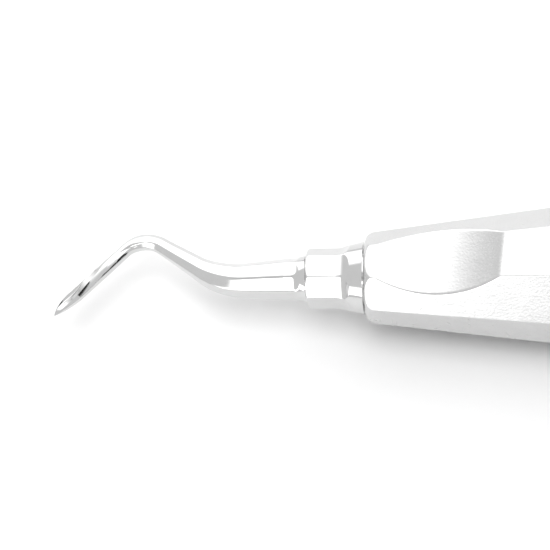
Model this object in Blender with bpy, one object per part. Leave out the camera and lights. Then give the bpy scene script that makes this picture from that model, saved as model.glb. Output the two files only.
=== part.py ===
"""A dental root-tip elevator, lying on a flat facet of its eight-sided handle.

Run with: blender --background --python part.py

Dimensions are in millimetres and become metres where a mesh is made. While a piece is
made, x runs along the handle's axis from the tip of the blade to the butt, and y and z
are measured from that axis. Angles round the axis start at +z, the side that faces up,
and grow towards +y. Both bends of the shank lie in the level plane through the axis.
"""

import math

import bmesh
import bpy
from mathutils import Matrix, Vector

MM = 0.001
SIDES = 8
SIDE_ANGLE = 2 * math.pi / SIDES
FLAT_TO_CORNER = math.cos(SIDE_ANGLE / 2)

# ---- Lengths along the axis, from the tip --------------------------------------------
TOTAL_LENGTH = 150.0
NECK_X = 27.90            # where the shank's flare meets the collar
COLLAR_FRONT_X = 27.95
COLLAR_FLARE_X = 31.3
COLLAR_REAR_X = 34.30
HANDLE_FRONT_X = 34.48
PIN_X = 38.0
SPIGOT_END_X = 42.0
BORE_STEP_X = 54.0
BUSH_REAR_X = 62.5
TANG_END_X = 63.5
PLUG_SPIGOT_X = 140.0
HANDLE_REAR_X = 148.00
PLUG_CAP_X = 148.15

# ---- Blade and shank -----------------------------------------------------------------
BLADE_TIP = (0.0, -4.0)   # (x, y) corners of the shank's centre line
CROOK_CORNER = (9.50, 5.55)
KNEE_CORNER = (18.4, -0.19)
CROOK_RADIUS = 3.3
KNEE_RADIUS = 9.5

# Radius of the forged bar at distances from the tip along its centre line
BAR = ((0.0, 0.74), (8.0, 0.745), (10.6, 0.735), (12.9, 0.87), (15.5, 0.94), (18.7, 1.16),
       (20.3, 1.29), (22.6, 1.66), (25.6, 1.94), (30.2, 2.31))
POINT_LENGTH = 3.4        # the stretch that narrows to the point
POINT_LEAN = 0.07         # the point's curve is fuller on the outer side by this much
SHOULDER = 9.0            # from the tip to where the blade's faces start
SHOULDER_END = 12.6       # from here on the section is the shank's
FLARE_RADIUS = 2.60
FLARE_LENGTH = 1.5
SHANK_TURN = math.radians(13.0)   # the shank's flats sit turned from the handle's
SHANK_WHEEL = 1.3         # radius of the wheel that grinds the shank's flats
# Where the blade's three edges run, as degrees round its centre line (from_tip, angle)
OUTER_EDGE = ((0.0, 60.0), (9.0, 60.0))
RIDGE = ((0.0, -32.0), (2.6, -32.0), (5.6, -4.0), (9.0, 20.0))
INNER_EDGE = ((0.0, -66.0), (3.2, -64.0), (6.6, -48.0), (9.0, 12.0))
HOLLOW = ((0.0, 0.06), (1.2, 0.13), (2.8, 0.17), (5.2, 0.07), (7.0, 0.02), (9.0, 0.0))

# ---- Collar --------------------------------------------------------------------------
COLLAR_RADIUS = 3.32      # to the octagon's corners
COLLAR_NOSE_RADIUS = 2.66
COLLAR_NOSE_LENGTH = 0.60
COLLAR_RIM_RADIUS = 3.86
COLLAR_FLARE_POWER = 1.6
COLLAR_TURN = math.radians(4.0)
COLLAR_WHEEL = 2.2
SPIGOT_RADIUS = 2.90

# ---- Handle: radii to the octagon's corners ------------------------------------------
MOUTH_CORNER = 4.10
NOSE_LENGTH = 1.50
NOSE_CORNER = 5.10        # where the rounded nose meets the front taper
FRONT_TAPER = 0.1228      # growth of the corner radius along the front taper
BELLY_BLEND_X = 57.0
BELLY_X = (70.0, 98.0)    # the stretch with no taper, which it rests on
REAR_BLEND_X = 110.0
REAR_TAPER = 0.018
REAR_ROUND_X = 145.0
REAR_CORNER = 7.05
HOLLOW_RADIUS = 5.70      # the handle is bored out from the butt

SCOOP_X = (35.9, 50.0)    # the ends of the thumb rest, on the facet's middle line
SCOOP_WHEEL = 20.3
SCOOP_SKEW = math.radians(4.4)

# ---- Fits and small pieces -----------------------------------------------------------
FIT = 0.05                # radial gap between a piece and its seat
TANG_RADIUS = 1.95
PIN_RADIUS = 0.75
PLUG_CAP_RADIUS = 6.3
PLUG_FACE_RADIUS = 3.6

STEPS = 48                # points round a ring; the octagon's corners fall on them
HOLLOW_STEPS = 10         # of those, on the blade's hollow face
FLAT_STEPS = 4            # on its flat one
BACK_STEPS = STEPS - HOLLOW_STEPS - FLAT_STEPS


# ---- Sections ------------------------------------------------------------------------
def blend(value, low, high):
    """0 below low, 1 above high, smooth between."""
    t = min(max((value - low) / (high - low), 0.0), 1.0)
    return t * t * (3.0 - 2.0 * t)


def smooth_through(points, x):
    """The height at x of a smooth curve through a few (x, height) points."""
    i = max(k for k in range(len(points) - 1) if x >= points[k][0] or k == 0)
    (x0, y0), (x1, y1) = points[i], points[i + 1]
    gap = x1 - x0
    slopes = []
    for k in (i, i + 1):
        before, after = points[max(k - 1, 0)], points[min(k + 1, len(points) - 1)]
        slopes.append((after[1] - before[1]) / (after[0] - before[0]))
    t = min(max((x - x0) / gap, 0.0), 1.0)
    rise = t * t * (3.0 - 2.0 * t)
    lean = slopes[0] * t * (1.0 - t) ** 2 - slopes[1] * t * t * (1.0 - t)
    return y0 + (y1 - y0) * rise + gap * lean


def soft_least(radii, sharpness):
    """The least of some radii, with the corners between them rounded a little."""
    return sum(r ** -sharpness for r in radii) ** (-1.0 / sharpness)


def flat_radius(angle, normal, distance):
    """How far a ray at this angle runs before it meets a flat."""
    return distance / max(math.cos(angle - normal), 0.05)


def octagon_radius(angle, turn, distance):
    """The same for eight flats, one of which faces the angle turn."""
    off = (angle - turn + SIDE_ANGLE / 2) % SIDE_ANGLE - SIDE_ANGLE / 2
    return flat_radius(off, 0.0, distance)


def wheel_runout(past, wheel):
    """How far a flat has risen, this far past the spot where its wheel began to lift."""
    past = min(max(past, 0.0), wheel * 0.98)
    return wheel - math.sqrt(wheel ** 2 - past ** 2)


# ---- Materials and objects -----------------------------------------------------------
def steel(name, grey, roughness):
    material = bpy.data.materials.new(name)
    material.use_nodes = True
    shader = material.node_tree.nodes["Principled BSDF"]
    shader.inputs["Base Color"].default_value = (grey, grey, grey, 1.0)
    shader.inputs["Metallic"].default_value = 1.0
    shader.inputs["Roughness"].default_value = roughness
    return material


def add_object(name, shape, material):
    """Turns a bmesh into an object, with the handle's axis at its height over the table."""
    if shape.calc_volume(signed=True) < 0.0:
        bmesh.ops.reverse_faces(shape, faces=shape.faces)
    data = bpy.data.meshes.new(name)
    shape.to_mesh(data)
    shape.free()
    data.shade_smooth()
    data.set_sharp_from_angle(angle=math.radians(20))
    obj = bpy.data.objects.new(name, data)
    bpy.context.scene.collection.objects.link(obj)
    axis_height = FLAT_TO_CORNER * handle_corner(BELLY_X[0])
    obj.location = Vector((-TOTAL_LENGTH / 2, 0.0, axis_height)) * MM
    if material is not None:
        data.materials.append(material)
    return obj


def ring_at(x, radius_at):
    """Points round the axis at x; the radius is a number or a function of the angle."""
    ring = []
    for i in range(STEPS):
        angle = i * 2 * math.pi / STEPS
        radius = radius_at(angle) if callable(radius_at) else radius_at
        ring.append((x, radius * math.sin(angle), radius * math.cos(angle)))
    return ring


def skin(rings, looped):
    """A skin over rings of points: looped back to the first ring, or with flat ends."""
    shape = bmesh.new()
    made = [[shape.verts.new(Vector(p) * MM) for p in ring] for ring in rings]
    pairs = list(zip(made, made[1:]))
    if looped:
        pairs.append((made[-1], made[0]))
    else:
        shape.faces.new(list(reversed(made[0])))
        shape.faces.new(made[-1])
    for near, far in pairs:
        for i in range(STEPS):
            j = (i + 1) % STEPS
            shape.faces.new((near[i], near[j], far[j], far[i]))
    return shape


def add_cylinder(name, radius, length, centre, axis, segments, material=None):
    """A cylinder; with no material it is a cutter, hidden from view."""
    shape = bmesh.new()
    bmesh.ops.create_cone(
        shape, cap_ends=True, segments=segments,
        radius1=radius * MM, radius2=radius * MM, depth=length * MM,
    )
    turn = Vector(axis).to_track_quat("Z", "Y").to_matrix().to_4x4()
    shape.transform(Matrix.Translation(Vector(centre) * MM) @ turn)
    obj = add_object(name, shape, material)
    if material is None:
        obj.hide_render = True
        obj.display_type = "WIRE"
    return obj


def cut(obj, cutter):
    modifier = obj.modifiers.new(cutter.name, "BOOLEAN")
    modifier.operation = "DIFFERENCE"
    modifier.solver = "EXACT"
    modifier.object = cutter


# ---- The shank's centre line ---------------------------------------------------------
def fillet(before, corner, after, radius):
    """The arc that rounds a corner of the centre line."""
    into = (corner - before).normalized()
    out = (after - corner).normalized()
    turn = -into.angle_signed(out)
    reach = radius * math.tan(abs(turn) / 2)
    start = corner - into * reach
    left = Vector((-into.y, into.x))
    centre = start + left * math.copysign(radius, turn)
    return {"start": start, "end": corner + out * reach, "centre": centre, "into": into,
            "turn": turn, "length": abs(turn) * radius}


def centre_line():
    """A function from the distance along the line to a point and heading; its length."""
    tip, crook, knee, neck = (
        Vector(p) for p in (BLADE_TIP, CROOK_CORNER, KNEE_CORNER, (NECK_X, 0.0)))
    arcs = [fillet(tip, crook, knee, CROOK_RADIUS), fillet(crook, knee, neck, KNEE_RADIUS)]
    starts = [tip] + [arc["end"] for arc in arcs]
    ends = [arc["start"] for arc in arcs] + [neck]

    def at(distance):
        for i, (start, end) in enumerate(zip(starts, ends)):
            run = (end - start).length
            if distance <= run or i == len(arcs):
                heading = (end - start).normalized()
                return start + heading * distance, heading
            distance -= run
            arc = arcs[i]
            if distance <= arc["length"]:
                turn = Matrix.Rotation(arc["turn"] * distance / arc["length"], 2)
                return arc["centre"] + turn @ (arc["start"] - arc["centre"]), turn @ arc["into"]
            distance -= arc["length"]

    straight = sum((end - start).length for start, end in zip(starts, ends))
    return at, straight + sum(arc["length"] for arc in arcs)


# ---- Blade and shank -----------------------------------------------------------------
def shank_radius(angle, from_tip, length):
    """The shank's forged bar with eight flats, which fade out at both of its ends."""
    bar = smooth_through(BAR, from_tip)
    flare = max(FLARE_LENGTH - length + from_tip, 0.0) / FLARE_LENGTH
    fading = blend(from_tip, 14.5, SHOULDER + 0.6)
    turned = bar * (1.03 - 0.03 * max(fading, flare)) + (FLARE_RADIUS - BAR[-1][1]) * flare ** 2
    flat = bar * (0.93 + 0.09 * fading)
    flat += wheel_runout(from_tip - length + FLARE_LENGTH, SHANK_WHEEL)
    turn = SHANK_TURN * blend(from_tip, 14.0, 24.0)
    return soft_least([turned, octagon_radius(angle, turn, flat)], 70.0)


def shank_section(from_tip, length):
    """(across, up) points of the shank, evenly spread round its centre line."""
    points = []
    for i in range(STEPS):
        angle = i * 2 * math.pi / STEPS
        radius = shank_radius(angle, from_tip, length)
        points.append(Vector((radius * math.sin(angle), radius * math.cos(angle))))
    return points


def blade_section(from_tip):
    """(across, up) points of the blade: a hollow face, a flat one, and the round back."""
    short = max(1.0 - from_tip / POINT_LENGTH, 0.0)
    share = (1.0 - short ** 2) ** 0.8
    bar = smooth_through(BAR, from_tip) * share
    outer, ridge, inner = (smooth_through(edge, from_tip) for edge in (OUTER_EDGE, RIDGE, INNER_EDGE))
    ground = blend(from_tip, SHOULDER, SHOULDER - 2.5)
    hollow = smooth_through(HOLLOW, from_tip) * share

    def rim(degrees):
        angle = math.radians(degrees)
        return Vector((bar * math.sin(angle), bar * math.cos(angle)))

    chord = rim(ridge) - rim(outer)
    inward = Vector((chord.y, -chord.x)).normalized()
    points = []
    for i in range(BACK_STEPS):
        points.append(rim(outer + (inner + 360.0 - outer) * i / BACK_STEPS))
    for i in range(FLAT_STEPS):
        points.append(rim(inner).lerp(rim(ridge), i / FLAT_STEPS))
    for i in range(HOLLOW_STEPS):
        t = 1.0 - i / HOLLOW_STEPS
        cut_point = rim(outer) + chord * t - inward * (hollow * 4.0 * t * (1.0 - t))
        points.append(rim(outer + (ridge - outer) * t).lerp(cut_point, ground))
    # Starts at the ridge, which is close to the top, where the shank's section starts.
    points = points[-HOLLOW_STEPS:] + points[:-HOLLOW_STEPS]
    lean = POINT_LEAN * 4.0 * short * (1.0 - short)
    return [point + Vector((lean, 0.0)) for point in points]


def shank_stations(length):
    """Distances from the tip: close together where the shape changes quickly."""
    spacing = ((0.0, 0.10), (0.6, 0.25), (3.6, 0.45), (8.3, 0.18), (9.6, 0.50),
               (14.0, 0.75), (27.0, 0.85), (length - FLARE_LENGTH, 0.25))
    stations = [0.04]
    while stations[-1] < length - 0.3:
        stations.append(stations[-1] + [gap for start, gap in spacing if stations[-1] >= start][-1])
    return stations[:-1] + [length]


def make_blade_and_shank(material):
    at, length = centre_line()
    rings = []
    for from_tip in shank_stations(length):
        centre, heading = at(from_tip)
        across = Vector((-heading.y, heading.x))
        section = shank_section(max(from_tip, SHOULDER), length)
        if from_tip < SHOULDER_END:
            share = blend(from_tip, SHOULDER, SHOULDER_END)
            blade = blade_section(min(from_tip, SHOULDER))
            section = [b.lerp(s, share) for b, s in zip(blade, section)]
        rings.append([(*(centre + across * spot.x), spot.y) for spot in section])
    rings += [ring_at(NECK_X, TANG_RADIUS), ring_at(TANG_END_X - 0.5, TANG_RADIUS),
              ring_at(TANG_END_X, TANG_RADIUS - 0.5)]
    return add_object("blade_and_shank", skin(rings, looped=False), material)


# ---- Collar --------------------------------------------------------------------------
def collar_rings():
    """Octagonal barrel with a rounded nose, and a flared rim that stays round."""
    xs = [COLLAR_FRONT_X + COLLAR_NOSE_LENGTH * (1.0 - math.cos(k * math.pi / 10)) for k in range(6)]
    xs += [29.9, COLLAR_FLARE_X]
    xs += [COLLAR_FLARE_X + (COLLAR_REAR_X - COLLAR_FLARE_X) * k / 9 for k in range(1, 10)]
    rings = []
    for x in xs:
        nose = min(max((COLLAR_FRONT_X + COLLAR_NOSE_LENGTH - x) / COLLAR_NOSE_LENGTH, 0.0), 1.0)
        drop = (COLLAR_RADIUS - COLLAR_NOSE_RADIUS) * (1.0 - math.sqrt(1.0 - nose ** 2))
        flare = max((x - COLLAR_FLARE_X) / (COLLAR_REAR_X - COLLAR_FLARE_X), 0.0)
        rise = (COLLAR_RIM_RADIUS - COLLAR_RADIUS) * flare ** COLLAR_FLARE_POWER
        turned = COLLAR_RADIUS * (1.04 - 0.04 * max(nose, flare)) - drop + rise
        flat = COLLAR_RADIUS * 0.93 + wheel_runout(x - COLLAR_FLARE_X, COLLAR_WHEEL)
        rings.append(ring_at(x, lambda angle: soft_least(
            [turned, octagon_radius(angle, COLLAR_TURN, flat)], 80.0)))
    return rings


def make_collar(material):
    rings = collar_rings()
    bore = TANG_RADIUS + FIT
    rings += [ring_at(COLLAR_REAR_X, SPIGOT_RADIUS), ring_at(SPIGOT_END_X, SPIGOT_RADIUS),
              ring_at(SPIGOT_END_X, bore), ring_at(COLLAR_FRONT_X, bore)]
    return add_object("neck_collar", skin(rings, looped=True), material)


# ---- Handle --------------------------------------------------------------------------
def handle_corner(x):
    """Distance from the axis to the octagon's corners, along the handle."""
    nose_end = HANDLE_FRONT_X + NOSE_LENGTH
    radius = NOSE_CORNER + FRONT_TAPER * (min(x, BELLY_BLEND_X) - nose_end)
    if x < nose_end:
        share = (nose_end - x) / NOSE_LENGTH
        depth = NOSE_CORNER - FRONT_TAPER * NOSE_LENGTH - MOUTH_CORNER
        return radius - depth * (1.0 - math.sqrt(max(1.0 - share ** 2, 0.0)))
    reach = BELLY_X[0] - BELLY_BLEND_X
    along = min(max(x - BELLY_BLEND_X, 0.0), reach)
    radius += FRONT_TAPER * (along - along ** 2 / (2 * reach))
    reach = REAR_BLEND_X - BELLY_X[1]
    along = min(max(x - BELLY_X[1], 0.0), reach)
    radius -= REAR_TAPER * (along ** 2 / (2 * reach) + max(x - REAR_BLEND_X, 0.0))
    if x > REAR_ROUND_X:
        share = min((x - REAR_ROUND_X) / (HANDLE_REAR_X - REAR_ROUND_X), 1.0)
        straight = handle_corner(REAR_ROUND_X) - REAR_TAPER * (HANDLE_REAR_X - REAR_ROUND_X)
        radius -= (straight - REAR_CORNER) * (1.0 - math.sqrt(1.0 - share ** 2))
    return radius


def handle_stations():
    nose_end = HANDLE_FRONT_X + NOSE_LENGTH
    quarter = [k * math.pi / 12 for k in range(7)]
    stations = [nose_end - NOSE_LENGTH * math.cos(a) for a in quarter]
    stations += [BELLY_BLEND_X + (BELLY_X[0] - BELLY_BLEND_X) * k / 6 for k in range(7)]
    stations += [BELLY_X[1] + (REAR_BLEND_X - BELLY_X[1]) * k / 4 for k in range(5)]
    stations += [REAR_ROUND_X + (HANDLE_REAR_X - REAR_ROUND_X) * math.sin(a) for a in quarter]
    return stations


def add_scoop_cutter(name, up):
    """The wheel that grinds a thumb rest into the top facet (up = 1) or bottom (-1)."""
    low, high = (Vector((x, FLAT_TO_CORNER * handle_corner(x))) for x in SCOOP_X)
    chord = high - low
    lift = math.sqrt(SCOOP_WHEEL ** 2 - (chord.length / 2) ** 2)
    x, height = (low + high) / 2 + Vector((-chord.y, chord.x)).normalized() * lift
    axis = (math.tan(SCOOP_SKEW), 1.0, 0.0)
    return add_cylinder(name, SCOOP_WHEEL, 40.0, (x, 0.0, up * height), axis, 160)


def make_handle(material):
    def octagon(x):
        flat = FLAT_TO_CORNER * handle_corner(x)
        return ring_at(x, lambda angle: octagon_radius(angle, 0.0, flat))

    front_bore = SPIGOT_RADIUS + FIT
    rings = [octagon(x) for x in handle_stations()]
    rings += [ring_at(HANDLE_REAR_X, HOLLOW_RADIUS), ring_at(BORE_STEP_X, HOLLOW_RADIUS),
              ring_at(BORE_STEP_X, front_bore), ring_at(HANDLE_FRONT_X, front_bore)]
    handle = add_object("handle_body", skin(rings, looped=True), material)
    cut(handle, add_scoop_cutter("scoop_wheel_top", 1))
    cut(handle, add_scoop_cutter("scoop_wheel_bottom", -1))
    return handle


# ---- Pieces inside the handle, and the butt ------------------------------------------
def make_tang_bush(material):
    outer, bore = HOLLOW_RADIUS - FIT, TANG_RADIUS + FIT
    front = BORE_STEP_X + FIT
    rings = [ring_at(front, outer), ring_at(BUSH_REAR_X, outer),
             ring_at(BUSH_REAR_X, bore), ring_at(front, bore)]
    return add_object("tang_bush", skin(rings, looped=True), material)


def make_tang_pin(material, held):
    """The level cross pin inside the mouth of the handle, and its holes."""
    centre, axis = (PIN_X, 0.0, 0.0), (0.0, 1.0, 0.0)
    hole = add_cylinder("pin_drill", PIN_RADIUS + FIT, 30.0, centre, axis, 24)
    for piece in held:
        cut(piece, hole)
    return add_cylinder("tang_pin", PIN_RADIUS, 2 * SPIGOT_RADIUS - 0.2, centre, axis, 24, material)


def make_end_plug(material):
    spigot = HOLLOW_RADIUS - FIT
    rings = [ring_at(PLUG_SPIGOT_X, spigot - 0.4), ring_at(PLUG_SPIGOT_X + 0.4, spigot),
             ring_at(PLUG_CAP_X, spigot), ring_at(PLUG_CAP_X, PLUG_CAP_RADIUS)]
    for k in range(1, 9):
        angle = k * math.pi / 16
        radius = PLUG_FACE_RADIUS + (PLUG_CAP_RADIUS - PLUG_FACE_RADIUS) * math.cos(angle)
        rings.append(ring_at(PLUG_CAP_X + (TOTAL_LENGTH - PLUG_CAP_X) * math.sin(angle), radius))
    return add_object("end_plug", skin(rings, looped=False), material)


def main():
    for obj in list(bpy.data.objects):
        bpy.data.objects.remove(obj)

    polished = steel("polished_steel", 0.78, 0.08)
    satin = steel("satin_steel", 0.72, 0.32)
    machined = steel("machined_steel", 0.60, 0.40)

    shank = make_blade_and_shank(polished)
    collar = make_collar(polished)
    make_handle(satin)
    make_tang_bush(machined)
    make_tang_pin(machined, held=(shank, collar))
    make_end_plug(satin)


main()
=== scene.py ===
"""Looks for the dental root-tip elevator: fine meshes, steel materials, floor, light, camera.

Shapes are worked out in millimetres, with x along the handle's axis from the blade's
tip, y and z measured from the axis, and angles round it from +z towards +y.
"""

import math

import bpy
import numpy as np
from mathutils import Matrix, Vector


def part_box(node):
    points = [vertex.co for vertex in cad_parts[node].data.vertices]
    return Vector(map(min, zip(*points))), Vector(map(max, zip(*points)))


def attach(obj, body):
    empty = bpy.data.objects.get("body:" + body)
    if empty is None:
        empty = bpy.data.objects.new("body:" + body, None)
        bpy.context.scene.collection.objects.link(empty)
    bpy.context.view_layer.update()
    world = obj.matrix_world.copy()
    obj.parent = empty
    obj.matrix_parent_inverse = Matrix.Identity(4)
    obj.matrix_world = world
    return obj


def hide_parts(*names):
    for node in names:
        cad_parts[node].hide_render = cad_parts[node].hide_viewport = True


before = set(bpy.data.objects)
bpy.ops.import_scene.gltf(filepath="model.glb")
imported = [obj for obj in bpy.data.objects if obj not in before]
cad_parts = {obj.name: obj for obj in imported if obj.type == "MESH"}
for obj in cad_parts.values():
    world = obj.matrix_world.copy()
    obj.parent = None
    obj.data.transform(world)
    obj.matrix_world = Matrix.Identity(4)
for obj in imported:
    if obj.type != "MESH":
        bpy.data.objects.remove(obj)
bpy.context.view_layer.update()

MM = 0.001
SIDE_ANGLE = math.pi / 4
FLAT_TO_CORNER = math.cos(SIDE_ANGLE / 2)


# ---- Where the CAD pieces are ---------------------------------------------------------
def node_ends(node):
    """The lowest and highest corner of a CAD node, in millimetres."""
    low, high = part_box(node)
    return Vector(low) / MM, Vector(high) / MM


HANDLE_LOW, HANDLE_HIGH = node_ends("handle_body")
SHANK_LOW, SHANK_HIGH = node_ends("blade_and_shank")
COLLAR_LOW, COLLAR_HIGH = node_ends("neck_collar")
PLUG_LOW, PLUG_HIGH = node_ends("end_plug")

AXIS_HEIGHT = (HANDLE_LOW.z + HANDLE_HIGH.z) / 2
TIP_X = SHANK_LOW.x
TOTAL_LENGTH = PLUG_HIGH.x - TIP_X
TANG_END_X = SHANK_HIGH.x - TIP_X
COLLAR_FRONT_X = COLLAR_LOW.x - TIP_X
SPIGOT_END_X = COLLAR_HIGH.x - TIP_X
HANDLE_FRONT_X = HANDLE_LOW.x - TIP_X
HANDLE_REAR_X = HANDLE_HIGH.x - TIP_X
PLUG_SPIGOT_X = PLUG_LOW.x - TIP_X

# ---- Sizes that the boxes don't give ---------------------------------------------------
# They are the CAD's own, apart from finer shapes for the blade's hollow, the shank's turn,
# the collar's rim and edges, the handle's nose and the scoops.
NECK_X = 27.90
COLLAR_FLARE_X = 31.3
COLLAR_REAR_X = 34.30
BORE_STEP_X = 54.0
PLUG_CAP_X = 148.15

BLADE_TIP = (0.0, -4.0)
CROOK_CORNER = (9.50, 5.55)
KNEE_CORNER = (18.4, -0.19)
CROOK_RADIUS = 3.3
KNEE_RADIUS = 9.5
BAR = ((0.0, 0.74), (8.0, 0.745), (10.6, 0.735), (12.9, 0.87), (15.5, 0.94), (18.7, 1.16),
       (20.3, 1.29), (22.6, 1.66), (25.6, 1.94), (30.2, 2.31))
POINT_LENGTH = 3.4        # the stretch that narrows to the point
POINT_POWER = 0.8
POINT_LEAN = 0.07         # the point's curve is fuller on the outer side by this much
SHOULDER = 9.0            # from the tip to where the blade's faces start
SHOULDER_END = 12.6       # from here on the section is the shank's
GRIND_RUNOUT = 2.5        # the hollow face fades in over this much before the shoulder
# Where the blade's three edges run, as degrees round its centre line (from_tip, angle)
OUTER_EDGE = ((0.0, 60.0), (9.0, 60.0))
RIDGE = ((0.0, -32.0), (2.6, -32.0), (5.6, -4.0), (9.0, 20.0))
INNER_EDGE = ((0.0, -66.0), (3.2, -64.0), (6.6, -48.0), (9.0, 12.0))
HOLLOW = ((0.0, 0.0), (0.5, 0.06), (1.5, 0.22), (2.7, 0.30), (4.0, 0.20), (5.0, 0.07), (6.0, 0.01),
          (9.0, 0.0))
HOLLOW_WALL = 1.29        # how steeply the hollow drops from the outer edge
HOLLOW_CORNER = 0.4       # rounding between that wall and the hollow's floor
FLARE_RADIUS = 2.60
FLARE_LENGTH = 1.5
SHANK_TURN = math.radians(9.0)
SHANK_WHEEL = 1.3         # radius of the wheel that grinds the shank's flats
SHANK_TURN_SPAN = (14.0, 24.0)            # the flats turn between these distances
SHANK_FADE_SPAN = (14.5, SHOULDER + 0.6)  # and fade into the blade's round back here
SHANK_ROUND = (1.03, 0.03)                # radius of the turned bar, and what fading takes off
SHANK_FLAT = (0.93, 0.09)                 # distance of the flats, and what fading adds
SHANK_CORNER = 0.03
SHANK_EDGE = 0.16         # rounding of the shank's edges, as a share of its radius
TANG_RADIUS = 1.95
TANG_CHAMFER = 0.5

COLLAR_RADIUS = 3.32
COLLAR_NOSE_RADIUS = 2.66
COLLAR_NOSE_LENGTH = 0.60
COLLAR_RIM_RADIUS = 4.05
COLLAR_FLARE_POWER = 1.3
COLLAR_ROUND = (1.04, 0.04)
COLLAR_FLAT = 0.93
COLLAR_TURN = math.radians(4.0)
COLLAR_WHEEL = 2.2
WHEEL_LIMIT = 0.98        # share of a wheel's radius up to which its rise is followed
COLLAR_EDGE = 0.30        # radius of the rounding of its edges
COLLAR_CORNER = 0.06
SPIGOT_RADIUS = 2.90
FIT = 0.05                # radial gap between a piece and its seat

MOUTH_RADIUS = 4.10
NOSE_LENGTH = 1.50
NOSE_CORNER = 5.10
NOSE_RISE = 0.02          # the turned rounding ends this far outside the corners
NOSE_EDGE = 0.05
FRONT_TAPER = 0.1228      # growth of the corner radius along the front taper
BELLY_BLEND_X = 57.0
BELLY_X = (70.0, 98.0)    # the stretch with no taper, which it rests on
REAR_BLEND_X = 110.0
REAR_TAPER = 0.018
REAR_ROUND_X = 145.0
REAR_CORNER = 7.05
HOLLOW_RADIUS = 5.70
HANDLE_EDGE = 0.16        # rounding of the handle's long edges
SCOOP_X = (35.9, 49.5)    # the ends of the thumb rest, on the facet's middle line
SCOOP_WHEEL = 16.8
SCOOP_SKEW = math.radians(4.4)
SCOOP_EDGE = 0.12
SCOOP_FACING = 0.1        # a scoop is looked for only on its own side of the axis

PLUG_CAP_RADIUS = 6.3
PLUG_FACE_RADIUS = 3.6
PLUG_CHAMFER = 0.4

# ---- How finely the meshes are made ------------------------------------------------------
SHARP_ANGLE = math.radians(35.0)
CROWDING = 0.75           # how much closer points stand near an octagon's corners
SHANK_COUNTS = (18,) * 8  # points on each of the eight sides
COLLAR_COUNTS = (40,) * 8
HANDLE_COUNTS = (72, 60, 12, 44, 44, 44, 12, 60)
PLUG_COUNT = 128
HOLLOW_STEPS = 40         # of the shank's points, on the blade's hollow face
FLAT_STEPS = 16           # on its flat one
BACK_STEPS = sum(SHANK_COUNTS) - HOLLOW_STEPS - FLAT_STEPS
FIRST_STATION = 0.01      # the blade's first ring, from the tip
LAST_GAP = 0.07
COLLAR_NOSE_RINGS = 16
COLLAR_BARREL_RINGS = 12
COLLAR_FLARE_RINGS = 56
HANDLE_NOSE_RINGS = 20
SCOOP_RINGS = 180
SCOOP_MARGIN = 1.4        # the fine rings run on past the scoop's end by this much
TAPER_RINGS = 30
REAR_RINGS = 40
REAR_ROUND_RINGS = 20
PLUG_RINGS = 32
TINY = 1e-9
FAR = 1e3                 # a radius that stands for no hit

# ---- Room and lights: metres, degrees and radiances ---------------------------------------
FLOOR_REACH = 4.0
ROOM = 0.85               # radiance of the room in the steel's reflections
ROOM_ON_FLOOR = 0.22      # share of it that lights the floor
# A level, then borders: the normal of each border's plane, where it lies, how soft it is.
ROOM_AREAS = (
    # Overhead light.
    (2.1, ((0.54, 0.84, -0.03), 0.08, 0.09), ((1.0, 0.0, 0.0), -1.02, 0.25),
     ((0.0, 0.0, 1.0), 0.12, 0.12)),
    # Opening straight above the handle's ridge.
    (0.62, ((0.0, 0.924, 0.383), 0.11, -0.05), ((0.0, 0.924, 0.383), -0.11, 0.05),
     ((1.0, 0.0, 0.0), 0.25, -0.05), ((1.0, 0.0, 0.0), -0.36, 0.05)),
    # Dark opening low on the right.
    (0.02, ((0.618, 0.743, -0.253), 0.09, -0.02), ((0.618, 0.743, -0.253), -0.04, 0.02),
     ((0.75, -0.47, 0.47), 0.94, 0.01)),
    # Small light in front, which the collar's lower facet reflects.
    (2.0, ((-0.10, -0.86, 0.50), 0.990, 0.006)),
)
LIT_X = 40.0              # the lights point at the axis this far from the tip, in millimetres
FLOOR_LIGHT_DISTANCE = 0.45
# A name, how far it leans back from overhead, its size, its radiance.
FLOOR_LIGHTS = (
    ("overhead_softbox", -5.0, 0.24, 7.7),
    ("back_softbox", 40.0, 0.50, 1.5),
)
FRONT_LEAN = -67.5
FRONT_DISTANCE = 0.35
FRONT_SLANT = 0.253       # how far to the left the front light stands, over its distance
FRONT_SHIFT = (0.0150, 0.0075)   # to the left and down
FRONT_SIZE = (0.165, 0.44)
FRONT_EDGE_SLOPE = 1.0
FRONT_EDGE_SHIFT = 0.02
FRONT_RADIANCE = 2.0
FRONT_FADE = 0.30         # share of its width over which it fades out

# ---- Camera ------------------------------------------------------------------------------
FIELD = 60.5              # width of the view at the object, in millimetres
LENS = 200.0
SENSOR = 36.0
CAMERA_SWING = math.radians(6.6)
CAMERA_TILT = SIDE_ANGLE / 2
CAMERA_ROLL = math.radians(0.82)
CAMERA_TARGET = (24.4, 0.5)      # (x, y) on the level of the axis
NEAREST = 0.01            # metres


# ---- Curves and sections ---------------------------------------------------------------
def blend(value, low, high):
    """0 at low, 1 at high, smooth between."""
    t = np.clip((value - low) / (high - low), 0.0, 1.0)
    return t * t * (3.0 - 2.0 * t)


def smooth_through(points, x):
    """The height at x of a smooth curve through a few (x, height) points."""
    i = max(k for k in range(len(points) - 1) if x >= points[k][0] or k == 0)
    (x0, y0), (x1, y1) = points[i], points[i + 1]
    slopes = []
    for k in (i, i + 1):
        before, after = points[max(k - 1, 0)], points[min(k + 1, len(points) - 1)]
        slopes.append((after[1] - before[1]) / (after[0] - before[0]))
    t = min(max((x - x0) / (x1 - x0), 0.0), 1.0)
    rise = t * t * (3.0 - 2.0 * t)
    lean = slopes[0] * t * (1.0 - t) ** 2 - slopes[1] * t * t * (1.0 - t)
    return y0 + (y1 - y0) * rise + (x1 - x0) * lean


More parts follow.
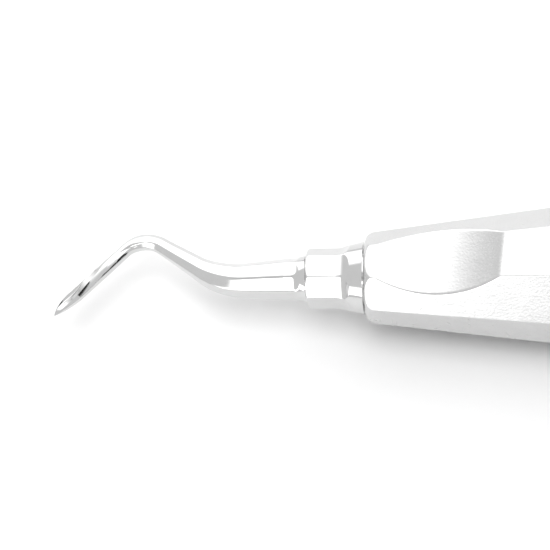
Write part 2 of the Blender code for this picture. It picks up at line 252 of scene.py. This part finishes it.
def soft_least(a, b, width):
    """The smaller of two radii, with the corner between them rounded over a width."""
    near = np.maximum(width - np.abs(a - b), 0.0) / width
    return np.minimum(a, b) - near ** 2 * width * 0.25


def wheel_runout(past, wheel):
    """How far a flat has risen, this far past the spot where its wheel began to lift."""
    past = np.clip(past, 0.0, wheel * WHEEL_LIMIT)
    return wheel - np.sqrt(wheel ** 2 - past ** 2)


def octagon(angles, turn, flat, edge):
    """Radii of an octagon with one side facing the angle turn, and edges of this radius."""
    off = np.abs((angles - turn + SIDE_ANGLE / 2) % SIDE_ANGLE - SIDE_ANGLE / 2)
    straight = flat / np.cos(off)
    centre = (flat - edge) / FLAT_TO_CORNER
    from_corner = SIDE_ANGLE / 2 - off
    inside = np.maximum(edge ** 2 - (centre * np.sin(from_corner)) ** 2, 0.0)
    rounded = centre * np.cos(from_corner) + np.sqrt(inside)
    on_flat = flat * np.tan(off) <= (flat - edge) * math.tan(SIDE_ANGLE / 2)
    return np.where(on_flat, straight, rounded)


def side_angles(turn, counts):
    """Angles round an octagon, closer together near its corners; one count per side."""
    angles = []
    for side, count in enumerate(counts):
        t = np.arange(count) / count
        t = t - CROWDING / (2 * math.pi) * np.sin(2 * math.pi * t)
        angles.append(turn + (side - 0.5 + t) * SIDE_ANGLE)
    return np.concatenate(angles)


# ---- Meshes ---------------------------------------------------------------------------
def ring(x, angles, radii):
    """Points round the axis at x."""
    radii = np.broadcast_to(radii, angles.shape)
    return np.stack([np.broadcast_to(x, angles.shape), radii * np.sin(angles),
                     radii * np.cos(angles)], axis=1)


def add_skin(name, rings, looped):
    """An object skinned over rings of equal counts: looped, or with flat ends."""
    count = len(rings[0])
    points = np.concatenate(rings)
    points = points + np.array([TIP_X, 0.0, AXIS_HEIGHT])
    index = np.arange(len(rings) * count).reshape(len(rings), count)
    if looped:
        index = np.concatenate([index, index[:1]])
    near, far = index[:-1], index[1:]
    quads = np.stack([near, far, np.roll(far, -1, axis=1), np.roll(near, -1, axis=1)], axis=2)
    faces = quads.reshape(-1, 4).tolist()
    if not looped:
        faces += [index[0].tolist(), index[-1][::-1].tolist()]
    mesh = bpy.data.meshes.new(name)
    mesh.from_pydata((points * MM).tolist(), [], faces)
    mesh.update()
    mesh.shade_smooth()
    mesh.set_sharp_from_angle(angle=SHARP_ANGLE)
    obj = bpy.data.objects.new(name, mesh)
    bpy.context.scene.collection.objects.link(obj)
    return obj


# ---- Blade and shank -------------------------------------------------------------------
def fillet(before, corner, after, radius):
    """The arc that rounds a corner of the centre line."""
    into = (corner - before).normalized()
    out = (after - corner).normalized()
    turn = -into.angle_signed(out)
    reach = radius * math.tan(abs(turn) / 2)
    start = corner - into * reach
    left = Vector((-into.y, into.x))
    return {"start": start, "end": corner + out * reach, "into": into, "turn": turn,
            "centre": start + left * math.copysign(radius, turn), "length": abs(turn) * radius}


def centre_line():
    """A function from the distance along the line to a point and heading; its length."""
    tip, crook, knee, neck = (
        Vector(p) for p in (BLADE_TIP, CROOK_CORNER, KNEE_CORNER, (NECK_X, 0.0)))
    arcs = [fillet(tip, crook, knee, CROOK_RADIUS), fillet(crook, knee, neck, KNEE_RADIUS)]
    starts = [tip] + [arc["end"] for arc in arcs]
    ends = [arc["start"] for arc in arcs] + [neck]

    def at(distance):
        for i, (start, end) in enumerate(zip(starts, ends)):
            run = (end - start).length
            if distance <= run or i == len(arcs):
                heading = (end - start).normalized()
                return start + heading * distance, heading
            distance -= run
            arc = arcs[i]
            if distance <= arc["length"]:
                turn = Matrix.Rotation(arc["turn"] * distance / arc["length"], 2)
                return arc["centre"] + turn @ (arc["start"] - arc["centre"]), turn @ arc["into"]
            distance -= arc["length"]

    straight = sum((end - start).length for start, end in zip(starts, ends))
    return at, straight + sum(arc["length"] for arc in arcs)


def shank_section(from_tip, length):
    """(across, up) points of the forged shank, with eight flats that fade at both ends."""
    turn = SHANK_TURN * blend(from_tip, *SHANK_TURN_SPAN)
    angles = side_angles(turn, SHANK_COUNTS) + SIDE_ANGLE / 2
    bar = smooth_through(BAR, from_tip)
    flare = max(FLARE_LENGTH - length + from_tip, 0.0) / FLARE_LENGTH
    fading = blend(from_tip, *SHANK_FADE_SPAN)
    turned = bar * (SHANK_ROUND[0] - SHANK_ROUND[1] * max(fading, flare))
    turned += (FLARE_RADIUS - BAR[-1][1]) * flare ** 2
    flat = bar * (SHANK_FLAT[0] + SHANK_FLAT[1] * fading)
    flat += wheel_runout(from_tip - length + FLARE_LENGTH, SHANK_WHEEL)
    radii = octagon(angles, turn, flat, bar * SHANK_EDGE * (1.0 + 2.0 * fading))
    radii = soft_least(radii, turned, bar * SHANK_CORNER)
    return np.stack([radii * np.sin(angles), radii * np.cos(angles)], axis=1)


def blade_section(from_tip):
    """(across, up) points of the blade: a hollow face, a flat one, and the round back."""
    short = max(1.0 - from_tip / POINT_LENGTH, 0.0)
    share = (1.0 - short ** 2) ** POINT_POWER
    bar = smooth_through(BAR, from_tip) * share
    outer, ridge, inner = (
        math.radians(smooth_through(edge, from_tip)) for edge in (OUTER_EDGE, RIDGE, INNER_EDGE))
    ground = blend(from_tip, SHOULDER, SHOULDER - GRIND_RUNOUT)
    hollow = smooth_through(HOLLOW, from_tip) * share

    def rim(angle):
        angle = np.asarray(angle)
        return bar * np.stack([np.sin(angle), np.cos(angle)], axis=-1)

    back = rim(outer + (inner + 2 * math.pi - outer) * np.arange(BACK_STEPS) / BACK_STEPS)
    t = np.arange(FLAT_STEPS)[:, None] / FLAT_STEPS
    flat = rim(inner) * (1.0 - t) + rim(ridge) * t
    chord = rim(ridge) - rim(outer)
    width = max(np.linalg.norm(chord), TINY)
    inward = np.array([chord[1], -chord[0]]) / width
    t = 1.0 - np.arange(HOLLOW_STEPS) / HOLLOW_STEPS
    wall = HOLLOW_WALL * width * t
    floor = hollow * (1.0 - t) / (1.0 - hollow / (HOLLOW_WALL * width))
    depth = soft_least(wall, floor, hollow * HOLLOW_CORNER + 1e-6)
    face = rim(outer) + chord * t[:, None] - inward * np.maximum(depth, 0.0)[:, None]
    face = face * ground + rim(outer + (ridge - outer) * t) * (1.0 - ground)
    # Starts at the ridge, which is close to where the shank's section starts.
    points = np.concatenate([face, back, flat])
    return points + np.array([POINT_LEAN * 4.0 * short * (1.0 - short), 0.0])


def shank_stations(length):
    """Distances from the tip: close together where the shape changes quickly."""
    spacing = ((0.0, 0.02), (0.3, 0.06), (9.6, 0.10), (length - FLARE_LENGTH - 0.3, 0.05))
    stations = [FIRST_STATION]
    while stations[-1] < length - LAST_GAP:
        gap = [gap for start, gap in spacing if stations[-1] >= start][-1]
        stations.append(stations[-1] + gap)
    return stations[:-1] + [length]


def make_blade_and_shank():
    at, length = centre_line()
    rings = []
    for from_tip in shank_stations(length):
        centre, heading = at(from_tip)
        section = shank_section(max(from_tip, SHOULDER), length)
        if from_tip < SHOULDER_END:
            share = blend(from_tip, SHOULDER, SHOULDER_END)
            section = section * share + blade_section(min(from_tip, SHOULDER)) * (1.0 - share)
        across, up = section[:, 0], section[:, 1]
        along = np.maximum(centre.x - heading.y * across, 0.0)
        rings.append(np.stack([along, centre.y + heading.x * across, up], axis=1))
    angles = side_angles(0.0, SHANK_COUNTS) + SIDE_ANGLE / 2
    rings += [ring(NECK_X, angles, TANG_RADIUS), ring(TANG_END_X - TANG_CHAMFER, angles, TANG_RADIUS),
              ring(TANG_END_X, angles, TANG_RADIUS - TANG_CHAMFER)]
    return add_skin("polished_blade_and_shank", rings, looped=False)


# ---- Collar ----------------------------------------------------------------------------
def make_collar():
    angles = side_angles(COLLAR_TURN, COLLAR_COUNTS)
    nose_end = COLLAR_FRONT_X + COLLAR_NOSE_LENGTH
    xs = [nose_end - COLLAR_NOSE_LENGTH * math.cos(k * math.pi / (2 * COLLAR_NOSE_RINGS))
          for k in range(COLLAR_NOSE_RINGS + 1)]
    xs += list(np.linspace(nose_end, COLLAR_FLARE_X, COLLAR_BARREL_RINGS)[1:])
    xs += list(np.linspace(COLLAR_FLARE_X, COLLAR_REAR_X, COLLAR_FLARE_RINGS)[1:])
    rings = []
    for x in xs:
        nose = min(max((nose_end - x) / COLLAR_NOSE_LENGTH, 0.0), 1.0)
        drop = (COLLAR_RADIUS - COLLAR_NOSE_RADIUS) * (1.0 - math.sqrt(1.0 - nose ** 2))
        flare = max((x - COLLAR_FLARE_X) / (COLLAR_REAR_X - COLLAR_FLARE_X), 0.0)
        turned = COLLAR_RADIUS * (COLLAR_ROUND[0] - COLLAR_ROUND[1] * max(nose, flare)) - drop
        turned += (COLLAR_RIM_RADIUS - COLLAR_RADIUS) * flare ** COLLAR_FLARE_POWER
        flat = COLLAR_RADIUS * COLLAR_FLAT + wheel_runout(x - COLLAR_FLARE_X, COLLAR_WHEEL)
        radii = octagon(angles, COLLAR_TURN, flat, COLLAR_EDGE)
        rings.append(ring(x, angles, soft_least(radii, turned, COLLAR_CORNER)))
    bore = TANG_RADIUS + FIT
    rings += [ring(COLLAR_REAR_X, angles, SPIGOT_RADIUS),
              ring(SPIGOT_END_X, angles, SPIGOT_RADIUS),
              ring(SPIGOT_END_X, angles, bore), ring(COLLAR_FRONT_X, angles, bore)]
    return add_skin("polished_neck_collar", rings, looped=True)


# ---- Handle ----------------------------------------------------------------------------
def handle_corner(x):
    """Distance from the axis to the octagon's corners, along the handle."""
    nose_end = HANDLE_FRONT_X + NOSE_LENGTH
    radius = NOSE_CORNER + FRONT_TAPER * (min(x, BELLY_BLEND_X) - nose_end)
    reach = BELLY_X[0] - BELLY_BLEND_X
    along = min(max(x - BELLY_BLEND_X, 0.0), reach)
    radius += FRONT_TAPER * (along - along ** 2 / (2 * reach))
    reach = REAR_BLEND_X - BELLY_X[1]
    along = min(max(x - BELLY_X[1], 0.0), reach)
    radius -= REAR_TAPER * (along ** 2 / (2 * reach) + max(x - REAR_BLEND_X, 0.0))
    if x > REAR_ROUND_X:
        share = min((x - REAR_ROUND_X) / (HANDLE_REAR_X - REAR_ROUND_X), 1.0)
        straight = handle_corner(REAR_ROUND_X) - REAR_TAPER * (HANDLE_REAR_X - REAR_ROUND_X)
        radius -= (straight - REAR_CORNER) * (1.0 - math.sqrt(1.0 - share ** 2))
    return radius


def turned_nose(x):
    """Radius of the rounding turned on the front end, which cuts the octagon's corners off."""
    share = min(max(HANDLE_FRONT_X + NOSE_LENGTH - x, 0.0) / NOSE_LENGTH, 1.0)
    return MOUTH_RADIUS + (NOSE_CORNER + NOSE_RISE - MOUTH_RADIUS) * math.sqrt(1.0 - share ** 2)


def scoop_radii(x, angles, up):
    """How far a ray from the axis runs before it meets a scoop's ground surface."""
    low, high = (Vector((p, FLAT_TO_CORNER * handle_corner(p))) for p in SCOOP_X)
    chord = high - low
    lift = math.sqrt(SCOOP_WHEEL ** 2 - (chord.length / 2) ** 2)
    centre_x, centre_z = (low + high) / 2 + Vector((-chord.y, chord.x)).normalized() * lift
    along = (x - centre_x) * math.cos(SCOOP_SKEW)
    rise = np.cos(angles) * up
    slew = np.sin(angles) * math.sin(SCOOP_SKEW)
    a = slew ** 2 + rise ** 2
    b = along * slew + centre_z * rise
    c = along ** 2 + centre_z ** 2 - SCOOP_WHEEL ** 2
    hit = b ** 2 - a * c
    found = (b - np.sqrt(np.maximum(hit, 0.0))) / np.maximum(a, TINY)
    return np.where((hit > 0.0) & (rise > SCOOP_FACING) & (found > 0.0), found, FAR)


def handle_stations():
    """Where the handle's rings lie along the axis: closest together over the scoops."""
    nose_end = HANDLE_FRONT_X + NOSE_LENGTH
    fine_end = SCOOP_X[1] + SCOOP_MARGIN
    xs = [nose_end - NOSE_LENGTH * math.cos(k * math.pi / (2 * HANDLE_NOSE_RINGS))
          for k in range(HANDLE_NOSE_RINGS)]
    xs += list(np.linspace(nose_end, fine_end, SCOOP_RINGS))
    xs += list(np.linspace(fine_end, BELLY_X[0], TAPER_RINGS)[1:])
    xs += list(np.linspace(BELLY_X[1], REAR_ROUND_X, REAR_RINGS))
    xs += [REAR_ROUND_X
           + (HANDLE_REAR_X - REAR_ROUND_X) * math.sin(k * math.pi / (2 * REAR_ROUND_RINGS))
           for k in range(1, REAR_ROUND_RINGS + 1)]
    return xs


def make_handle():
    angles = side_angles(0.0, HANDLE_COUNTS)
    rings = []
    for x in handle_stations():
        radii = octagon(angles, 0.0, FLAT_TO_CORNER * handle_corner(x), HANDLE_EDGE)
        if x < HANDLE_FRONT_X + NOSE_LENGTH:
            radii = soft_least(radii, turned_nose(x), NOSE_EDGE)
        for up in (1, -1):
            radii = soft_least(radii, scoop_radii(x, angles, up), SCOOP_EDGE)
        rings.append(ring(x, angles, radii))
    front_bore = SPIGOT_RADIUS + FIT
    rings += [ring(HANDLE_REAR_X, angles, HOLLOW_RADIUS),
              ring(BORE_STEP_X, angles, HOLLOW_RADIUS),
              ring(BORE_STEP_X, angles, front_bore), ring(HANDLE_FRONT_X, angles, front_bore)]
    return add_skin("satin_handle_body", rings, looped=True)


def make_end_plug():
    angles = np.arange(PLUG_COUNT) * 2 * math.pi / PLUG_COUNT
    spigot = HOLLOW_RADIUS - FIT
    rings = [ring(PLUG_SPIGOT_X, angles, spigot - PLUG_CHAMFER),
             ring(PLUG_SPIGOT_X + PLUG_CHAMFER, angles, spigot),
             ring(PLUG_CAP_X, angles, spigot), ring(PLUG_CAP_X, angles, PLUG_CAP_RADIUS)]
    for k in range(1, PLUG_RINGS + 1):
        turn = k * math.pi / (2 * PLUG_RINGS)
        radius = PLUG_FACE_RADIUS + (PLUG_CAP_RADIUS - PLUG_FACE_RADIUS) * math.cos(turn)
        x = PLUG_CAP_X + (TOTAL_LENGTH - PLUG_CAP_X) * math.sin(turn)
        rings.append(ring(x, angles, radius))
    return add_skin("satin_end_plug", rings, looped=False)


# ---- Materials -------------------------------------------------------------------------
def new_material(name):
    material = bpy.data.materials.new(name)
    material.use_nodes = True
    nodes = material.node_tree.nodes
    return material, nodes, material.node_tree.links, nodes["Principled BSDF"]


def noise(nodes, links, vector, scale, detail, stretch=(1.0, 1.0, 1.0), turn=0.0):
    """Noise over the given coordinates, stretched and turned about z."""
    mapping = nodes.new("ShaderNodeMapping")
    mapping.inputs["Scale"].default_value = stretch
    mapping.inputs["Rotation"].default_value = (0.0, 0.0, turn)
    texture = nodes.new("ShaderNodeTexNoise")
    texture.inputs["Scale"].default_value = scale
    texture.inputs["Detail"].default_value = detail
    links.new(vector, mapping.inputs["Vector"])
    links.new(mapping.outputs["Vector"], texture.inputs["Vector"])
    return texture.outputs["Fac"]


def remap(nodes, links, value, from_range, to_range):
    node = nodes.new("ShaderNodeMapRange")
    node.inputs["From Min"].default_value, node.inputs["From Max"].default_value = from_range
    node.inputs["To Min"].default_value, node.inputs["To Max"].default_value = to_range
    links.new(value, node.inputs["Value"])
    return node.outputs["Result"]


def bump(nodes, links, height, strength, distance, below=None):
    node = nodes.new("ShaderNodeBump")
    node.inputs["Strength"].default_value = strength
    node.inputs["Distance"].default_value = distance
    links.new(height, node.inputs["Height"])
    if below is not None:
        links.new(below, node.inputs["Normal"])
    return node.outputs["Normal"]


def grey_ramp(nodes, links, value, low, high):
    ramp = nodes.new("ShaderNodeValToRGB")
    ramp.color_ramp.elements[0].color = (low, low, low, 1.0)
    ramp.color_ramp.elements[1].color = (high, high, high, 1.0)
    links.new(value, ramp.inputs["Fac"])
    return ramp.outputs["Color"]


def polished_steel():
    material, nodes, links, shader = new_material("mirror_polished_steel")
    place = nodes.new("ShaderNodeTexCoord").outputs["Object"]
    shader.inputs["Metallic"].default_value = 1.0
    clouds = noise(nodes, links, place, scale=900.0, detail=3.0)
    links.new(grey_ramp(nodes, links, clouds, low=0.62, high=0.68), shader.inputs["Base Color"])
    buffing = noise(nodes, links, place, scale=2600.0, detail=2.0, stretch=(0.15, 1.0, 1.0))
    links.new(remap(nodes, links, buffing, (0.3, 0.7), (0.045, 0.10)), shader.inputs["Roughness"])
    waves = noise(nodes, links, place, scale=500.0, detail=1.0)
    uneven = bump(nodes, links, waves, strength=0.10, distance=0.00004)
    links.new(uneven, shader.inputs["Normal"])
    return material


def satin_steel():
    material, nodes, links, shader = new_material("satin_steel")
    place = nodes.new("ShaderNodeTexCoord").outputs["Object"]
    shader.inputs["Metallic"].default_value = 1.0
    clouds = noise(nodes, links, place, scale=350.0, detail=4.0)
    links.new(grey_ramp(nodes, links, clouds, low=0.60, high=0.68), shader.inputs["Base Color"])
    grain = noise(nodes, links, place, scale=4200.0, detail=3.0)
    links.new(remap(nodes, links, grain, (0.3, 0.7), (0.20, 0.28)), shader.inputs["Roughness"])
    brushing = noise(nodes, links, place, scale=1500.0, detail=2.0, stretch=(0.12, 1.0, 1.0), turn=0.6)
    rubbed = bump(nodes, links, brushing, strength=0.12, distance=0.00004)
    blasted = bump(nodes, links, grain, strength=0.3, distance=0.00003, below=rubbed)
    links.new(blasted, shader.inputs["Normal"])
    return material


def floor_paper():
    material, nodes, links, shader = new_material("white_paper")
    place = nodes.new("ShaderNodeTexCoord").outputs["Object"]
    fibre = noise(nodes, links, place, scale=1500.0, detail=2.0)
    links.new(grey_ramp(nodes, links, fibre, low=0.895, high=0.905), shader.inputs["Base Color"])
    shader.inputs["Roughness"].default_value = 0.9
    shader.inputs["Specular IOR Level"].default_value = 0.1
    return material


# ---- Stage -----------------------------------------------------------------------------
def make_floor():
    mesh = bpy.data.meshes.new("floor")
    corners = [(x * FLOOR_REACH, y * FLOOR_REACH, 0) for x, y in ((-1, -1), (1, -1), (1, 1), (-1, 1))]
    mesh.from_pydata(corners, [], [(0, 1, 2, 3)])
    floor = bpy.data.objects.new("floor", mesh)
    bpy.context.scene.collection.objects.link(floor)
    mesh.materials.append(floor_paper())


def combine(nodes, links, operation, *values):
    """Chains a Math operation over outputs and numbers."""
    result = values[0]
    for value in values[1:]:
        node = nodes.new("ShaderNodeMath")
        node.operation = operation
        for socket, given in zip(node.inputs, (result, value)):
            if isinstance(given, (int, float)):
                socket.default_value = given
            else:
                links.new(given, socket)
        result = node.outputs["Value"]
    return result


def side_of(nodes, links, direction, normal, edge, soft):
    """0 to 1 across a plane's edge in the surroundings, given the plane's normal."""
    dot = nodes.new("ShaderNodeVectorMath")
    dot.operation = "DOT_PRODUCT"
    links.new(direction, dot.inputs[0])
    dot.inputs[1].default_value = Vector(normal).normalized()
    border = nodes.new("ShaderNodeMapRange")
    border.interpolation_type = "SMOOTHSTEP"
    border.inputs["From Min"].default_value = edge - soft
    border.inputs["From Max"].default_value = edge + soft
    links.new(dot.outputs["Value"], border.inputs["Value"])
    return border.outputs["Result"]


def make_surroundings():
    """The pale room that the steel reflects, with its lit areas and its openings."""
    world = bpy.data.worlds.new("studio")
    bpy.context.scene.world = world
    world.use_nodes = True
    nodes, links = world.node_tree.nodes, world.node_tree.links
    background = nodes["Background"]
    direction = nodes.new("ShaderNodeTexCoord").outputs["Generated"]
    light = ROOM
    for level, *borders in ROOM_AREAS:
        sides = [side_of(nodes, links, direction, *border) for border in borders]
        share = combine(nodes, links, "MULTIPLY", *sides) if len(sides) > 1 else sides[0]
        if level < ROOM:
            kept = combine(nodes, links, "MULTIPLY", share, level / ROOM - 1.0)
            kept = combine(nodes, links, "ADD", kept, 1.0)
            light = combine(nodes, links, "MULTIPLY", light, kept)
        else:
            light = combine(nodes, links, "ADD", light,
                            combine(nodes, links, "MULTIPLY", share, level - ROOM))
    path = nodes.new("ShaderNodeLightPath")
    diffuse = combine(
        nodes, links, "MULTIPLY", path.outputs["Is Diffuse Ray"], ROOM_ON_FLOOR - 1.0)
    light = combine(nodes, links, "MULTIPLY", light, combine(nodes, links, "ADD", diffuse, 1.0))
    seen = path.outputs["Is Camera Ray"]
    unseen = combine(nodes, links, "SUBTRACT", 1.0, seen)
    light = combine(nodes, links, "MULTIPLY", light, unseen)
    links.new(combine(nodes, links, "ADD", light, seen), background.inputs["Strength"])
    background.inputs["Color"].default_value = (1.0, 1.0, 1.0, 1.0)


def add_softbox(name, place, back, along, size, radiance, on_floor):
    """A soft light that either lights the floor or shows in the steel's reflections."""
    data = bpy.data.lights.new(name, "AREA")
    data.shape = "RECTANGLE"
    data.size, data.size_y = size
    data.energy = radiance * math.pi * size[0] * size[1]
    light = bpy.data.objects.new(name, data)
    bpy.context.scene.collection.objects.link(light)
    right = (along - back * along.dot(back)).normalized()
    pose = Matrix((right, back.cross(right), back)).transposed().to_4x4()
    pose.translation = place
    light.matrix_world = pose
    light.visible_camera = False
    light.visible_glossy = not on_floor
    light.visible_diffuse = on_floor
    return data


def soften_far_side(data, fade):
    """Lets a softbox fall off towards one side, over a share of its width."""
    data.use_nodes = True
    nodes, links = data.node_tree.nodes, data.node_tree.links
    split = nodes.new("ShaderNodeSeparateXYZ")
    links.new(nodes.new("ShaderNodeNewGeometry").outputs["Parametric"], split.inputs["Vector"])
    border = nodes.new("ShaderNodeMapRange")
    border.interpolation_type = "SMOOTHSTEP"
    border.inputs["From Min"].default_value = 1.0
    border.inputs["From Max"].default_value = 1.0 - fade
    links.new(split.outputs["X"], border.inputs["Value"])
    links.new(border.outputs["Result"], nodes["Emission"].inputs["Strength"])


def leaning(degrees):
    """The direction that leans this far back from straight up."""
    lean = math.radians(degrees)
    return Vector((0.0, math.sin(lean), math.cos(lean)))


def make_lights():
    centre = Vector((TIP_X + LIT_X, 0.0, AXIS_HEIGHT)) * MM
    x_axis = Vector((1.0, 0.0, 0.0))
    for name, lean, size, radiance in FLOOR_LIGHTS:
        above = leaning(lean)
        place = centre + above * FLOOR_LIGHT_DISTANCE
        add_softbox(name, place, above, x_axis, (size, size), radiance, True)
    front = leaning(FRONT_LEAN)
    up = front.cross(x_axis)
    edge = (x_axis + up * FRONT_EDGE_SLOPE).normalized()
    inward = front.cross(edge)
    hit = centre - x_axis * FRONT_SHIFT[0] - up * FRONT_SHIFT[1]
    hit += (front - x_axis * FRONT_SLANT) * FRONT_DISTANCE
    middle = hit + inward * FRONT_SIZE[0] / 2 + edge * FRONT_EDGE_SHIFT
    front_box = add_softbox(
        "front_softbox", middle, front, inward, FRONT_SIZE, FRONT_RADIANCE, False)
    soften_far_side(front_box, FRONT_FADE)


def make_camera():
    """Looks down at the working end, so that one edge of the handle faces the lens."""
    level = math.cos(CAMERA_SWING)
    back = Vector((math.sin(CAMERA_SWING), -level * math.sin(CAMERA_TILT),
                   level * math.cos(CAMERA_TILT)))
    up = Vector((0.0, back.z, -back.y)).normalized()
    right = up.cross(back)
    turned_up = up * math.cos(CAMERA_ROLL) + right * math.sin(CAMERA_ROLL)
    turned_right = right * math.cos(CAMERA_ROLL) - up * math.sin(CAMERA_ROLL)
    target = Vector((TIP_X + CAMERA_TARGET[0], CAMERA_TARGET[1], AXIS_HEIGHT)) * MM
    camera = bpy.data.objects.new("camera", bpy.data.cameras.new("camera"))
    camera.data.lens, camera.data.sensor_width = LENS, SENSOR
    camera.data.clip_start = NEAREST
    pose = Matrix((turned_right, turned_up, back)).transposed().to_4x4()
    pose.translation = target + back * (FIELD * MM * LENS / SENSOR)
    camera.matrix_world = pose
    bpy.context.scene.collection.objects.link(camera)
    bpy.context.scene.camera = camera


def main():
    polished, satin = polished_steel(), satin_steel()
    pieces = (
        (make_blade_and_shank(), "blade_and_shank", "polished_steel", polished),
        (make_collar(), "neck_collar", "polished_steel", polished),
        (make_handle(), "handle_body", "satin_steel", satin),
        (make_end_plug(), "end_plug", "satin_steel", satin),
    )
    for piece, node, slot, material in pieces:
        piece.data.materials.append(material)
        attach(piece, "root")
        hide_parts(node)
    for node in ("tang_bush", "tang_pin"):
        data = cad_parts[node].data
        data.materials.clear()
        data.materials.append(satin)
    make_floor()
    make_surroundings()
    make_lights()
    make_camera()
    bpy.context.scene.view_settings.view_transform = "Standard"


main()
